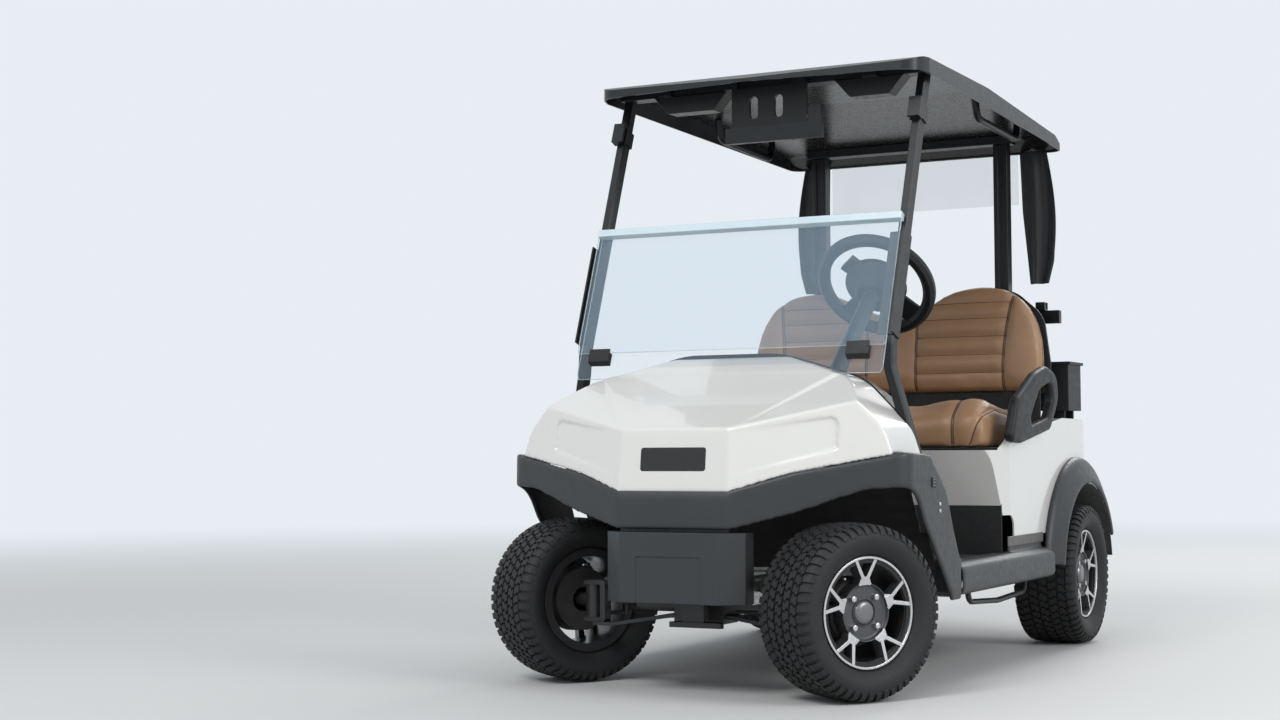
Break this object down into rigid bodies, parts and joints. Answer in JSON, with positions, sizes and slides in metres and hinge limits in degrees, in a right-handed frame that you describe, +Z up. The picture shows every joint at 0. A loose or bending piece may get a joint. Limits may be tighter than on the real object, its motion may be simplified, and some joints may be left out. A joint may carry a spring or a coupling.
{
  "type": "golf cart",
  "caption": "Two-seat electric golf cart with bench seat, canopy, folded windshield and bag well; its wheels roll and steer from the steering wheel.",
  "frame": {"origin": "on the ground under the middle of the whole cart", "axes": "+Z up, -Y is the way it drives, +X is its left side"},
  "size_m": [1.2526, 2.4369, 1.745],
  "materials": {
    "frame_alloy": "satin, mill finish",
    "black_steel": "satin black coat",
    "black_tube": "satin black powder coat",
    "white_body": "pearl white gloss",
    "charcoal_moulding": "fine grained, low sheen",
    "black_plastic": "fine grained",
    "floor_mat": "ribbed mat",
    "roof_plastic": "satin",
    "seat_leather": "tan, fine grain, dark brown piping",
    "clear_pane": "clear acrylic",
    "hinge_alloy": "brushed strip",
    "cover_fabric": "coated woven cloth",
    "motor_iron": "painted",
    "tyre": "matt tread, softer sheen on the side wall",
    "wheel_alloy": "machined faces, dark grey pockets"
  },
  "bodies": {
    "cart": {"chassis_frame": "frame_alloy", "floor_pan": "floor_mat", "battery_pack": "black_plastic", "front_leaf_spring": "black_steel", "front_suspension": "black_steel", "front_cowl": "white_body", "front_fenders": "charcoal_moulding", "rockers": "charcoal_moulding", "front_fascia": "charcoal_moulding", "cowl_trim": "black_plastic", "dashboard": "black_plastic", "steering_column": "black_steel", "pedals": "black_steel", "rear_body": "white_body", "bag_well": "black_plastic", "rear_flares": "charcoal_moulding", "seat_cushion": "seat_leather", "seat_pan": "black_plastic", "seat_back": "seat_leather", "seat_back_shell": "black_plastic", "hip_restraints": "black_plastic", "front_struts": "black_tube", "rear_struts": "black_tube", "roof": "roof_plastic", "roof_frame": "black_steel", "overhead_display": "black_plastic", "windshield_lower": "clear_pane", "windshield_upper": "clear_pane", "windshield_hinge": "hinge_alloy", "bag_rack": "black_tube", "accessory_box": "black_plastic", "bag_cover": "cover_fabric", "rear_axle": "black_steel", "drive_motor": "motor_iron", "rear_suspension": "black_steel"},
    "steering_wheel": {"steering_wheel": "black_plastic"},
    "knuckle_left": {"knuckle_left": "black_steel"},
    "knuckle_right": {"knuckle_right": "black_steel"},
    "tie_rod": {"tie_rod": "black_steel"},
    "wheel_front_left": {"tyre_front_left": "tyre", "rim_front_left": "wheel_alloy"},
    "wheel_front_right": {"tyre_front_right": "tyre", "rim_front_right": "wheel_alloy"},
    "wheel_rear_left": {"tyre_rear_left": "tyre", "rim_rear_left": "wheel_alloy"},
    "wheel_rear_right": {"tyre_rear_right": "tyre", "rim_rear_right": "wheel_alloy"}
  },
  "joints": [
    {"name": "steer_left", "type": "hinge", "parent": "cart", "child": "knuckle_left", "pos_m": [0.351, -0.934, 0.2295], "axis": [0, 0, 1], "range_deg": [-4, 64]},
    {"name": "steer_right", "type": "hinge", "parent": "cart", "child": "knuckle_right", "pos_m": [-0.351, -0.934, 0.2295], "axis": [0, 0, 1], "range_deg": [-4, 64]},
    {"name": "tie_rod_pivot", "type": "hinge", "parent": "knuckle_left", "child": "tie_rod", "pos_m": [0.406, -0.83874, 0.205], "axis": [0, 0, 1], "range_deg": [-64, 4]},
    {"name": "steering_wheel_turn", "type": "hinge", "parent": "cart", "child": "steering_wheel", "pos_m": [0.258, -0.302, 1.132], "axis": [0, 0.763, 0.6464], "range_deg": [-54, 854]},
    {"name": "spin_front_left", "type": "hinge", "parent": "knuckle_left", "child": "wheel_front_left", "pos_m": [0.43847, -0.9845, 0.2295], "axis": [0.866, -0.5, 0], "continuous": true},
    {"name": "spin_front_right", "type": "hinge", "parent": "knuckle_right", "child": "wheel_front_right", "pos_m": [-0.43847, -0.8835, 0.2295], "axis": [0.866, -0.5, 0], "continuous": true},
    {"name": "spin_rear_left", "type": "hinge", "parent": "cart", "child": "wheel_rear_left", "pos_m": [0.505, 0.73, 0.2295], "axis": [1, 0, 0], "continuous": true},
    {"name": "spin_rear_right", "type": "hinge", "parent": "cart", "child": "wheel_rear_right", "pos_m": [-0.505, 0.73, 0.2295], "axis": [1, 0, 0], "continuous": true}
  ],
  "couplings": [
    {"joint": "steer_right", "follows": "steer_left", "ratio": 1},
    {"joint": "tie_rod_pivot", "follows": "steer_left", "ratio": -1},
    {"joint": "steering_wheel_turn", "follows": "steer_left", "ratio": 13.333}
  ]
}
